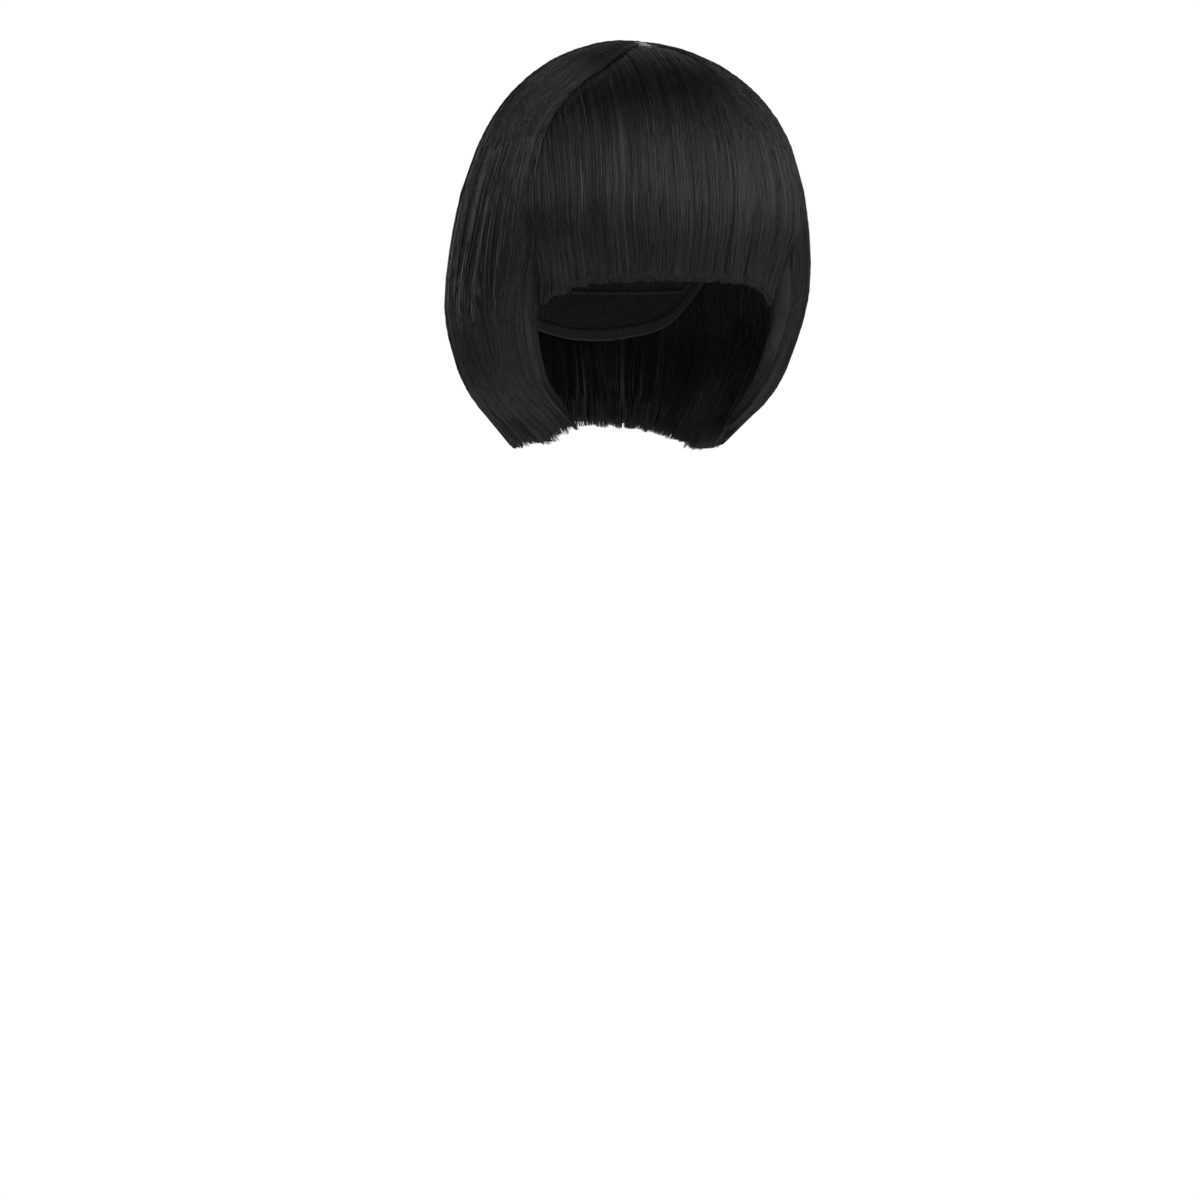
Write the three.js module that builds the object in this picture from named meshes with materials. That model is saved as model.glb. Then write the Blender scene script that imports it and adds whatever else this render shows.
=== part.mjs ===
// A short bob wig with a full fringe, in millimetres, +Z up. The wearer faces -Y, with the right side at -X.
// The origin is the inside of the crown, where the wig sits on the head.
import * as THREE from "three";

// The head that the cap is made for
const HEAD_WIDTH = 155;
const HEAD_DEPTH = 195;
const CROWN_HEIGHT = 92; // from the crown down to the widest level

// How far the hair falls below the crown
const HAIR_DROP = 229;
const FRINGE_DROP = 152;

// Thickness of the hair, of which the tables take shares
const FRONT_BODY = 12;
const SIDE_BODY = 28;
const BACK_BODY = 28;
const CROWN_BODY = 16;

const CAP_WALL = 1.5;
const SEAT_GAP = 0.8; // from the cap to the hair sewn on it
const PIECE_GAP = 0.3; // between neighbouring pieces
const WHORL_AHEAD = 14; // from the crown forward to the middle of the whorl
const PATCH_RADIUS = 6;
const PATCH_CROWN = 0.8; // rise of the scalp patch in its middle

// Locks: how deep the grooves between them are, and how ragged their ends
const LOCK_RELIEF = 2.6;
const FRINGE_RELIEF = 1.6;
const HEM_RAGGED = 5;
const FRINGE_RAGGED = 4;
const HEM_BEVEL = 3; // the hair's inner side ends this much higher than its outer side
const GROOVES_FULL_AT = 1.4; // the place down the locks where the grooves reach their full depth
const FRINGE_EDGE_SHARE = 0.9; // share of its thickness that the fringe keeps at its ends, over the sides
const SIDE_EDGE_SHARE = 0.72; // and that a side keeps beside the fringe and the face
const FREE_EDGE_COLUMNS = 3; // columns over which it grows to the whole

const FRINGE_LOCKS = 10;
const SIDE_LOCKS = 6;
const BACK_LOCKS = 10;
const LOCK_COLUMNS = 4;
const CAP_COLUMNS = 36;
const CROWN_ROWS = 10;
const FRINGE_ROWS = 5;
const SIDE_ROWS = 9;
const CAP_ROWS = 12;

// Angles round the head, in degrees from the front towards the wearer's left
const BACK_EDGE = 118;
const FULL_TURN = 360;

const HALF_WIDTH = HEAD_WIDTH / 2;
const HALF_DEPTH = HEAD_DEPTH / 2;
const FRINGE_HANG = FRINGE_DROP - CROWN_HEIGHT;
const SIDE_HANG = HAIR_DROP - CROWN_HEIGHT;

// A table is a list of rows with named columns. "at" runs from 0 at the whorl to 1 at the head's widest
// level, and on to 2 at the lowest hair. front, back, middle and width are the places of the head's ring, as
// shares of half its depth and width. The fall columns are how far it lies below the crown, as shares of the
// crown's height. The body and lift columns are the hair on it, as shares of the named thicknesses. edge is
// the angle of the parting between fringe and side.
const COLUMNS = [
  "at", "front", "back", "middle", "width", "fallFront", "fallBack",
  "bodyFront", "bodyBack", "bodySide", "liftFront", "liftBack", "edge",
];
const CROWN_ROWS_TABLE = [
  [
    0.0, (WHORL_AHEAD + PATCH_RADIUS) / HALF_DEPTH, (PATCH_RADIUS - WHORL_AHEAD) / HALF_DEPTH,
    -WHORL_AHEAD / HALF_DEPTH, PATCH_RADIUS / HALF_WIDTH, 0.047, 0.017, 0.0, 0.0, 0.0, 0.41, 0.48, 32,
  ],
  [0.17, 0.34, 0.12, -0.11, 0.22, 0.09, 0.0, 0.08, 0.04, 0.0, 0.45, 0.66, 31],
  [0.33, 0.45, 0.37, -0.04, 0.39, 0.145, 0.04, 0.18, 0.05, 0.06, 0.52, 0.8, 32],
  [0.5, 0.615, 0.595, -0.02, 0.59, 0.254, 0.162, 0.4, 0.17, 0.22, 0.52, 0.94, 37],
  [0.67, 0.79, 0.8, -0.03, 0.785, 0.43, 0.376, 0.62, 0.44, 0.41, 0.47, 0.98, 48.5],
  [0.83, 0.937, 0.937, -0.02, 0.935, 0.696, 0.674, 0.68, 0.6, 0.53, 0.6, 1.17, 54.5],
  [1.0, 1.0, 1.0, 0.04, 1.0, 1.0, 1.0, 0.78, 0.82, 0.75, 0.56, 0.88, 54.5],
];
const SIDE_ROWS_TABLE = [
  [1.17, 0.99, 0.99, 0.11, 0.99, 1, 1, 1.0, 1.0, 0.96, 0.19, 0.19, 54.5],
  [1.33, 0.99, 0.98, 0.19, 1.06, 1, 1, 0.92, 1.03, 0.82, 0, 0, 55.5],
  [1.46, 0.97, 0.98, 0.26, 1.08, 1, 1, 0.83, 0.93, 0.7, 0, 0, 56.5],
  [1.58, 0.92, 0.95, 0.3, 1.03, 1, 1, 0.75, 0.82, 0.68, 0, 0, 56.5],
  [1.71, 0.86, 0.92, 0.33, 0.97, 1, 1, 0.58, 0.64, 0.61, 0, 0, 56],
  [1.82, 0.79, 0.87, 0.37, 0.88, 1, 1, 0.5, 0.54, 0.49, 0, 0, 54],
  [1.91, 0.71, 0.82, 0.46, 0.77, 1, 1, 0.42, 0.39, 0.33, 0, 0, 50],
  [2.0, 0.63, 0.75, 0.5, 0.67, 1, 1, 0.33, 0.29, 0.22, 0, 0, 45],
];
const FRINGE_ROWS_TABLE = [
  [1.3, 0.985, 0.985, 0.08, 0.995, 1, 1, 1.0, 1.0, 0.8, 0.19, 0.19, 54],
  [1.57, 0.965, 0.965, 0.05, 0.985, 1, 1, 0.92, 0.9, 0.45, 0, 0, 56.5],
  [1.78, 0.95, 0.95, 0.02, 0.975, 1, 1, 0.75, 0.8, 0.2, 0, 0, 59.5],
  [2.0, 0.935, 0.935, 0.0, 0.96, 1, 1, 0.6, 0.6, 0.12, 0, 0, 62.5],
];
const CAP_ROWS_TABLE = [
  [1.17, 0.985, 0.99, 0.1, 0.985, 1, 1, 0, 0, 0, 0, 0, 0],
  [1.33, 0.97, 0.96, 0.1, 0.96, 1, 1, 0, 0, 0, 0, 0, 0],
  [1.6, 0.95, 0.86, 0.1, 0.86, 1, 1, 0, 0, 0, 0, 0, 0],
];

// Where the hems lie: "at" is the place across the piece, from 0 to 1, and the rest are places down the locks
const HEM_COLUMNS = ["at", "fringe", "left", "right", "back"];
const HEMS = rowsOf(HEM_COLUMNS, [
  [0.0, 2.0, 1.93, 1.97, 1.97],
  [0.12, 1.88, 1.97, 2.0, 1.95],
  [0.25, 1.85, 1.99, 2.0, 1.91],
  [0.5, 1.84, 2.0, 2.0, 1.89],
  [0.75, 1.82, 2.0, 2.0, 1.91],
  [0.88, 1.86, 2.0, 1.98, 1.95],
  [1.0, 1.96, 1.97, 1.95, 1.97],
]);

// The cap's rim: "at" is the angle from the front, and rim the place down the cap
const RIM = rowsOf(["at", "rim"], [
  [0, 0.8],
  [35, 0.8],
  [60, 0.9],
  [85, 1.18],
  [110, 1.12],
  [140, 1.42],
  [165, 1.49],
  [180, 1.5],
]);

const SIDE_LEVELS = rowsOf(COLUMNS, [...CROWN_ROWS_TABLE, ...SIDE_ROWS_TABLE]);
const FRINGE_LEVELS = rowsOf(COLUMNS, [...CROWN_ROWS_TABLE, ...FRINGE_ROWS_TABLE]);
const CAP_LEVELS = rowsOf(COLUMNS, [...CROWN_ROWS_TABLE, ...CAP_ROWS_TABLE]);

function rowsOf(names, rows) {
  return rows.map((row) => Object.fromEntries(names.map((name, i) => [name, row[i]])));
}

// Reads one column of a table at any place, on a smooth curve through its rows.
function read(table, name, at) {
  const last = table.length - 1;
  let k = 0;
  while (k < last - 1 && at > table[k + 1].at) k += 1;
  const start = table[k];
  const end = table[k + 1];
  const before = table[Math.max(k - 1, 0)];
  const after = table[Math.min(k + 2, last)];
  const span = end.at - start.at;
  const t = (at - start.at) / span;
  const slopeIn = (span * (end[name] - before[name])) / (end.at - before.at);
  const slopeOut = (span * (after[name] - start[name])) / (after.at - start.at);
  const rise = end[name] - start[name];
  const bend = 3 * rise - 2 * slopeIn - slopeOut;
  const twist = slopeIn + slopeOut - 2 * rise;
  return start[name] + t * (slopeIn + t * (bend + t * twist));
}

// A ring round the head: grown away from the head form by offset, and by the hair's body times fullness.
function ringAt(table, at, length, offset, fullness) {
  const share = (name) => read(table, name, at);
  const lean = (Math.min(at, 1) * Math.PI) / 2;
  const out = offset * Math.sin(lean);
  const up = offset * Math.cos(lean);
  const hang = length * Math.max(at - 1, 0);
  return {
    front: HALF_DEPTH * share("front") + out + fullness * FRONT_BODY * share("bodyFront"),
    back: HALF_DEPTH * share("back") + out + fullness * BACK_BODY * share("bodyBack"),
    middle: HALF_DEPTH * share("middle"),
    width: HALF_WIDTH * share("width") + out + fullness * SIDE_BODY * share("bodySide"),
    zFront: up - CROWN_HEIGHT * share("fallFront") - hang + fullness * CROWN_BODY * share("liftFront"),
    zBack: up - CROWN_HEIGHT * share("fallBack") - hang + fullness * CROWN_BODY * share("liftBack"),
  };
}

function pointOn(ring, degrees) {
  const angle = THREE.MathUtils.degToRad(degrees);
  const ahead = Math.cos(angle);
  const reach = ahead > 0 ? ring.middle + ring.front : ring.back - ring.middle;
  const z = THREE.MathUtils.lerp(ring.zFront, ring.zBack, (1 - ahead) / 2);
  return new THREE.Vector3(ring.width * Math.sin(angle), ring.middle - reach * ahead, z);
}

// Half the gap between two pieces, as an angle on this ring.
function gapAngle(ring, degrees) {
  const point = pointOn(ring, degrees);
  const radius = Math.hypot(point.x, point.y - ring.middle);
  return THREE.MathUtils.radToDeg(PIECE_GAP / 2 / radius);
}

function geometryOf(points, faces) {
  const geometry = new THREE.BufferGeometry();
  geometry.setAttribute("position", new THREE.Float32BufferAttribute(points.flatMap((p) => p.toArray()), 3));
  geometry.setIndex(faces.flat());
  geometry.computeVertexNormals();
  return geometry;
}

// A closed wall between an outer and an inner grid of points, which run down the locks and round the head.
function wallOf(outer, inner) {
  const rows = outer.length;
  const columns = outer[0].length;
  const points = [...outer.flat(), ...inner.flat()];
  const faces = [];
  const out = (row, column) => row * columns + column;
  const into = (row, column) => rows * columns + row * columns + column;
  const quad = (a, b, c, d) => faces.push([a, b, c], [a, c, d]);
  for (let row = 0; row < rows - 1; row += 1) {
    for (let column = 0; column < columns - 1; column += 1) {
      quad(out(row, column), out(row + 1, column), out(row + 1, column + 1), out(row, column + 1));
      quad(into(row, column), into(row, column + 1), into(row + 1, column + 1), into(row + 1, column));
    }
    quad(out(row, 0), into(row, 0), into(row + 1, 0), out(row + 1, 0));
    const end = columns - 1;
    quad(out(row, end), out(row + 1, end), into(row + 1, end), into(row, end));
  }
  for (let column = 0; column < columns - 1; column += 1) {
    const hem = rows - 1;
    quad(out(0, column), out(0, column + 1), into(0, column + 1), into(0, column));
    quad(out(hem, column), into(hem, column), into(hem, column + 1), out(hem, column + 1));
  }
  return geometryOf(points, faces);
}

// A closed bowl between an outer and an inner stack of whole rings, its crown closed by a fan on each side.
function bowlOf(outer, inner) {
  const rows = outer.length;
  const columns = outer[0].length;
  const middleOf = (ring) => ring.reduce((sum, p) => sum.add(p), new THREE.Vector3()).divideScalar(columns);
  const points = [...outer.flat(), ...inner.flat(), middleOf(outer[0]), middleOf(inner[0])];
  const faces = [];
  const out = (row, column) => row * columns + (column % columns);
  const into = (row, column) => (rows + row) * columns + (column % columns);
  const outTop = 2 * rows * columns;
  const inTop = outTop + 1;
  const quad = (a, b, c, d) => faces.push([a, b, c], [a, c, d]);
  for (let column = 0; column < columns; column += 1) {
    faces.push([outTop, out(0, column), out(0, column + 1)]);
    faces.push([inTop, into(0, column + 1), into(0, column)]);
    for (let row = 0; row < rows - 1; row += 1) {
      quad(out(row, column), out(row + 1, column), out(row + 1, column + 1), out(row, column + 1));
      quad(into(row, column), into(row, column + 1), into(row + 1, column + 1), into(row + 1, column));
    }
    const hem = rows - 1;
    quad(out(hem, column), into(hem, column), into(hem, column + 1), out(hem, column + 1));
  }
  return geometryOf(points, faces);
}

// Each lock has its own share of the ragged hem, spread evenly but out of order.
function lockShare(lock) {
  const first = 0.37;
  const goldenRatio = 0.618034;
  return (first + lock * goldenRatio) % 1;
}

// One piece of the hair: a wall of locks from the scalp patch to the hem, between two angles that may change
// on the way.
function hairPiece({
  table, length, rows, locks, hem, startAt, endAt, relief, ragged, edgeShare, roundStart, roundEnd,
}) {
  const columns = locks * LOCK_COLUMNS;
  const outer = [];
  const inner = [];
  const steps = CROWN_ROWS + rows;
  for (let row = 0; row <= steps; row += 1) {
    const outerRow = [];
    const innerRow = [];
    for (let column = 0; column <= columns; column += 1) {
      const across = column / columns;
      const inLock = (column % LOCK_COLUMNS) / LOCK_COLUMNS;
      const crest = Math.sin(Math.PI * inLock);
      const lock = Math.min(Math.floor(column / LOCK_COLUMNS), locks - 1);
      const shortfall = (ragged * (lockShare(lock) * crest + (1 - crest))) / length;
      const hemAt = read(HEMS, hem, across) - shortfall;
      const below = Math.max(row - CROWN_ROWS, 0) / rows;
      const at = Math.min(row / CROWN_ROWS, 1) + below * (hemAt - 1);
      const innerAt = at - (below * HEM_BEVEL) / length;
      const fromStart = edgeRounding(column, edgeShare, roundStart);
      const rounding = fromStart * edgeRounding(columns - column, edgeShare, roundEnd);
      const growth = THREE.MathUtils.smoothstep(at, 0, GROOVES_FULL_AT);
      const groove = relief * growth * (1 - crest);
      const outerRing = ringAt(table, at, length, CAP_WALL + SEAT_GAP - groove, rounding);
      const innerRing = ringAt(table, innerAt, length, CAP_WALL + SEAT_GAP, 0);
      const spread = (ring, place) => {
        const from = startAt(place);
        const to = endAt(place);
        return THREE.MathUtils.lerp(from + gapAngle(ring, from), to - gapAngle(ring, to), across);
      };
      outerRow.push(pointOn(outerRing, spread(outerRing, at)));
      innerRow.push(pointOn(innerRing, spread(innerRing, innerAt)));
    }
    outer.push(outerRow);
    inner.push(innerRow);
  }
  return wallOf(outer, inner);
}

// The hair is thinner on the first columns beside a free edge, so the edge is round.
function edgeRounding(columnsFromEdge, edgeShare, isRound) {
  if (!isRound || columnsFromEdge >= FREE_EDGE_COLUMNS) return 1;
  const share = Math.sin((Math.PI / 2) * (columnsFromEdge / FREE_EDGE_COLUMNS));
  return THREE.MathUtils.lerp(edgeShare, 1, share);
}

const fringeEdge = (at) => read(FRINGE_LEVELS, "edge", at);
const sideEdge = (at) => read(SIDE_LEVELS, "edge", at);

function fringe() {
  return hairPiece({
    table: FRINGE_LEVELS, length: FRINGE_HANG, rows: FRINGE_ROWS, locks: FRINGE_LOCKS, hem: "fringe",
    startAt: (at) => -fringeEdge(at), endAt: fringeEdge, relief: FRINGE_RELIEF, ragged: FRINGE_RAGGED,
    edgeShare: FRINGE_EDGE_SHARE, roundStart: true, roundEnd: true,
  });
}

function leftSide() {
  return hairPiece({
    table: SIDE_LEVELS, length: SIDE_HANG, rows: SIDE_ROWS, locks: SIDE_LOCKS, hem: "left",
    startAt: sideEdge, endAt: () => BACK_EDGE, relief: LOCK_RELIEF, ragged: HEM_RAGGED,
    edgeShare: SIDE_EDGE_SHARE, roundStart: true, roundEnd: false,
  });
}

function rightSide() {
  return hairPiece({
    table: SIDE_LEVELS, length: SIDE_HANG, rows: SIDE_ROWS, locks: SIDE_LOCKS, hem: "right",
    startAt: () => FULL_TURN - BACK_EDGE, endAt: (at) => FULL_TURN - sideEdge(at), relief: LOCK_RELIEF,
    ragged: HEM_RAGGED, edgeShare: SIDE_EDGE_SHARE, roundStart: false, roundEnd: true,
  });
}

function backHair() {
  return hairPiece({
    table: SIDE_LEVELS, length: SIDE_HANG, rows: SIDE_ROWS, locks: BACK_LOCKS, hem: "back",
    startAt: () => BACK_EDGE, endAt: () => FULL_TURN - BACK_EDGE, relief: LOCK_RELIEF, ragged: HEM_RAGGED,
    edgeShare: 1, roundStart: false, roundEnd: false,
  });
}

// The cap follows the head, from the whorl to its rim, which dips in front of the ears and at the nape.
function cap() {
  const outer = [];
  const inner = [];
  for (let row = 0; row <= CAP_ROWS; row += 1) {
    const outerRow = [];
    const innerRow = [];
    for (let column = 0; column < CAP_COLUMNS; column += 1) {
      const degrees = (FULL_TURN * column) / CAP_COLUMNS;
      const fromFront = Math.min(degrees, FULL_TURN - degrees);
      const at = (read(RIM, "rim", fromFront) * row) / CAP_ROWS;
      outerRow.push(pointOn(ringAt(CAP_LEVELS, at, SIDE_HANG, CAP_WALL, 0), degrees));
      innerRow.push(pointOn(ringAt(CAP_LEVELS, at, SIDE_HANG, 0, 0), degrees));
    }
    outer.push(outerRow);
    inner.push(innerRow);
  }
  return bowlOf(outer, inner);
}

// The scalp patch fills the eye of the whorl, from the cap up to the hair round it.
function scalpPatch() {
  const lower = ringAt(SIDE_LEVELS, 0, SIDE_HANG, CAP_WALL + PIECE_GAP, 0);
  const upper = ringAt(SIDE_LEVELS, 0, SIDE_HANG, CAP_WALL + SEAT_GAP, 1);
  for (const ring of [lower, upper]) {
    ring.width -= PIECE_GAP;
    ring.front -= PIECE_GAP;
    ring.back -= PIECE_GAP;
  }
  const points = [];
  const faces = [];
  for (let column = 0; column < CAP_COLUMNS; column += 1) {
    const degrees = (FULL_TURN * column) / CAP_COLUMNS;
    points.push(pointOn(lower, degrees), pointOn(upper, degrees));
  }
  const middleOf = (ring) => new THREE.Vector3(0, ring.middle, (ring.zFront + ring.zBack) / 2);
  const bottom = points.push(middleOf(lower)) - 1;
  const top = points.push(middleOf(upper).setZ((upper.zFront + upper.zBack) / 2 + PATCH_CROWN)) - 1;
  for (let column = 0; column < CAP_COLUMNS; column += 1) {
    const here = 2 * column;
    const next = 2 * ((column + 1) % CAP_COLUMNS);
    faces.push([here, next, next + 1], [here, next + 1, here + 1]);
    faces.push([bottom, next, here], [top, here + 1, next + 1]);
  }
  return geometryOf(points, faces);
}

const hairMaterial = new THREE.MeshStandardMaterial({ color: 0x17151a, roughness: 0.45, metalness: 0 });
const capMaterial = new THREE.MeshStandardMaterial({ color: 0x3a3839, roughness: 0.95, metalness: 0 });
const scalpMaterial = new THREE.MeshStandardMaterial({ color: 0xb9a79a, roughness: 0.7, metalness: 0 });

function pieceOf(name, geometry, material) {
  const mesh = new THREE.Mesh(geometry, material);
  mesh.name = name;
  return mesh;
}

const wig = new THREE.Group();
wig.add(
  pieceOf("fringe", fringe(), hairMaterial),
  pieceOf("left_side", leftSide(), hairMaterial),
  pieceOf("right_side", rightSide(), hairMaterial),
  pieceOf("back", backHair(), hairMaterial),
  pieceOf("cap", cap(), capMaterial),
  pieceOf("scalp_patch", scalpPatch(), scalpMaterial),
);

export default wig;
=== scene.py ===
"""The looks of the bob wig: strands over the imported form, the knitted cap, the scalp and a pale studio."""

import math

import bpy
import numpy as np
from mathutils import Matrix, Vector


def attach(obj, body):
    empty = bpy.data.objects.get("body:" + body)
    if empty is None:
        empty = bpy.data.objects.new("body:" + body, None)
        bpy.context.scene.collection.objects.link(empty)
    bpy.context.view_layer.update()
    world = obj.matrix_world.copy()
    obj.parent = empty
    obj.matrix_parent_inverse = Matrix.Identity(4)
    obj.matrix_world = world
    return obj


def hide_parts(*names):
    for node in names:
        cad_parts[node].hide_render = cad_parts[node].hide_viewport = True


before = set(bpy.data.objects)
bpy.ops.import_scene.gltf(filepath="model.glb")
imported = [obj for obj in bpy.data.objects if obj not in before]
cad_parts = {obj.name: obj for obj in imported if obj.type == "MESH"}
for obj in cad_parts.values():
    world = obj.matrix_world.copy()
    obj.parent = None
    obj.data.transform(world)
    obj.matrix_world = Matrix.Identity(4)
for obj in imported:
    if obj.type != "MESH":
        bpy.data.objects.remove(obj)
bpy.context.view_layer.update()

MM = 0.001
PIXEL = 0.592 * MM  # one pixel of the photograph at the wig

# The sizes of the form, as the part's own source has them
HALF_WIDTH = 155 * MM / 2
HALF_DEPTH = 195 * MM / 2
CROWN_HEIGHT = 92 * MM
SIDE_HANG = 229 * MM - CROWN_HEIGHT
FRINGE_HANG = 152 * MM - CROWN_HEIGHT
FRONT_BODY = 12 * MM
SIDE_BODY = 28 * MM
BACK_BODY = 28 * MM
CROWN_BODY = 16 * MM
CAP_WALL = 1.5 * MM
SEAT_GAP = 0.8 * MM
WHORL_AHEAD = 14 * MM
PATCH_RADIUS = 6 * MM
PATCH_CROWN = 0.8 * MM
LOCK_RELIEF = 2.6 * MM
FRINGE_RELIEF = 1.6 * MM
GROOVES_FULL_AT = 1.4
FRINGE_EDGE_SHARE = 0.9
SIDE_EDGE_SHARE = 0.72
FRINGE_LOCKS = 10
SIDE_LOCKS = 6
BACK_LOCKS = 10
FREE_EDGE_LOCKS = 0.75  # the hair at a free edge grows to its whole thickness over this much of a lock
EDGE_FROM = 0.9  # between these places a free edge goes over from its crown share to its edge share
EDGE_FULL = 1.25
BACK_EDGE = 118
COMB_LEVEL = 1.2  # above this place the fringe runs straight ahead, out from under the sides' front edges
PARTING_LEVELS = 97
FULL_TURN = 360
FAN_SHARE = 0.9  # on the wearer's left the fringe fans out from the whorl, with no parting beside it
FAN_FROM = 0.45
FAN_TO = 0.85

# A table is a list of rows with named columns, as in the part's source: "at" runs from 0 at the whorl to 1
# at the head's widest level and on to 2 at the lowest hair, and the rest are shares of the sizes above.
COLUMNS = (
    "at", "front", "back", "middle", "width", "fall_front", "fall_back",
    "body_front", "body_back", "body_side", "lift_front", "lift_back", "edge",
)
CROWN_ROWS = (
    (
        0.0, (WHORL_AHEAD + PATCH_RADIUS) / HALF_DEPTH, (PATCH_RADIUS - WHORL_AHEAD) / HALF_DEPTH,
        -WHORL_AHEAD / HALF_DEPTH, PATCH_RADIUS / HALF_WIDTH, 0.047, 0.017, 0.0, 0.0, 0.0, 0.41, 0.48, 32,
    ),
    (0.17, 0.34, 0.12, -0.11, 0.22, 0.09, 0.0, 0.08, 0.04, 0.0, 0.45, 0.66, 31),
    (0.33, 0.45, 0.37, -0.04, 0.39, 0.145, 0.04, 0.18, 0.05, 0.06, 0.52, 0.8, 32),
    (0.5, 0.615, 0.595, -0.02, 0.59, 0.254, 0.162, 0.4, 0.17, 0.22, 0.52, 0.94, 37),
    (0.67, 0.79, 0.8, -0.03, 0.785, 0.43, 0.376, 0.62, 0.44, 0.41, 0.47, 0.98, 48.5),
    (0.83, 0.937, 0.937, -0.02, 0.935, 0.696, 0.674, 0.68, 0.6, 0.53, 0.6, 1.17, 54.5),
    (1.0, 1.0, 1.0, 0.04, 1.0, 1.0, 1.0, 0.78, 0.82, 0.75, 0.56, 0.88, 54.5),
)
SIDE_ROWS = (
    (1.17, 0.99, 0.99, 0.11, 0.99, 1, 1, 1.0, 1.0, 0.96, 0.19, 0.19, 54.5),
    (1.33, 0.99, 0.98, 0.19, 1.06, 1, 1, 0.92, 1.03, 0.82, 0, 0, 55.5),
    (1.46, 0.97, 0.98, 0.26, 1.08, 1, 1, 0.83, 0.93, 0.7, 0, 0, 56.5),
    (1.58, 0.92, 0.95, 0.3, 1.03, 1, 1, 0.75, 0.82, 0.68, 0, 0, 56.5),
    (1.71, 0.86, 0.92, 0.33, 0.97, 1, 1, 0.58, 0.64, 0.61, 0, 0, 56),
    (1.82, 0.79, 0.87, 0.37, 0.88, 1, 1, 0.5, 0.54, 0.49, 0, 0, 54),
    (1.91, 0.71, 0.82, 0.46, 0.77, 1, 1, 0.42, 0.39, 0.33, 0, 0, 50),
    (2.0, 0.63, 0.75, 0.5, 0.67, 1, 1, 0.33, 0.29, 0.22, 0, 0, 45),
)
FRINGE_ROWS = (
    (1.3, 0.985, 0.985, 0.08, 0.995, 1, 1, 1.0, 1.0, 0.8, 0.19, 0.19, 54),
    (1.57, 0.965, 0.965, 0.05, 0.985, 1, 1, 0.92, 0.9, 0.45, 0, 0, 56.5),
    (1.78, 0.95, 0.95, 0.02, 0.975, 1, 1, 0.75, 0.8, 0.2, 0, 0, 59.5),
    (2.0, 0.935, 0.935, 0.0, 0.96, 1, 1, 0.6, 0.6, 0.12, 0, 0, 62.5),
)
CAP_ROWS = (
    (1.17, 0.985, 0.99, 0.1, 0.985, 1, 1, 0, 0, 0, 0, 0, 0),
    (1.33, 0.97, 0.96, 0.1, 0.96, 1, 1, 0, 0, 0, 0, 0, 0),
    (1.6, 0.95, 0.86, 0.1, 0.86, 1, 1, 0, 0, 0, 0, 0, 0),
)

# Where the hems lie: "at" is the place across the piece, and the rest are places down the locks
HEM_COLUMNS = ("at", "fringe", "left_side", "right_side", "back")
HEM_ROWS = (
    (0.0, 2.0, 1.93, 1.97, 1.97),
    (0.12, 1.88, 1.97, 2.0, 1.95),
    (0.25, 1.85, 1.99, 2.0, 1.91),
    (0.5, 1.84, 2.0, 2.0, 1.89),
    (0.75, 1.82, 2.0, 2.0, 1.91),
    (0.88, 1.86, 2.0, 1.98, 1.95),
    (1.0, 1.96, 1.97, 1.95, 1.97),
)

# The cap's rim: "at" is the angle from the front, and "rim" the place down the cap
RIM_ROWS = ((0, 0.8), (35, 0.8), (60, 0.9), (85, 1.18), (110, 1.12), (140, 1.42), (165, 1.49), (180, 1.5))


class Table:
    """A table with named columns, read at any place on a smooth curve through its rows."""

    def __init__(self, names, rows):
        values = np.array(rows, float)
        self.columns = {name: values[:, i] for i, name in enumerate(names)}
        self.at = self.columns["at"]

    def read(self, name, at):
        knots, column = self.at, self.columns[name]
        last = len(knots) - 1
        k = np.searchsorted(knots[1:last], at, side="left")
        before, after = np.maximum(k - 1, 0), np.minimum(k + 2, last)
        span = knots[k + 1] - knots[k]
        t = (at - knots[k]) / span
        rise = column[k + 1] - column[k]
        slope_in = span * (column[k + 1] - column[before]) / (knots[k + 1] - knots[before])
        slope_out = span * (column[after] - column[k]) / (knots[after] - knots[k])
        bend = 3 * rise - 2 * slope_in - slope_out
        twist = slope_in + slope_out - 2 * rise
        return column[k] + t * (slope_in + t * (bend + t * twist))


HEMS = Table(HEM_COLUMNS, HEM_ROWS)
RIM = Table(("at", "rim"), RIM_ROWS)


def smooth(value, low, high):
    """0 below low, 1 above high and a smooth step between."""
    t = np.clip((value - low) / (high - low), 0, 1)
    return t * t * (3 - 2 * t)


def unit(vectors):
    return vectors / np.maximum(np.linalg.norm(vectors, axis=-1, keepdims=True), 1e-12)


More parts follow.
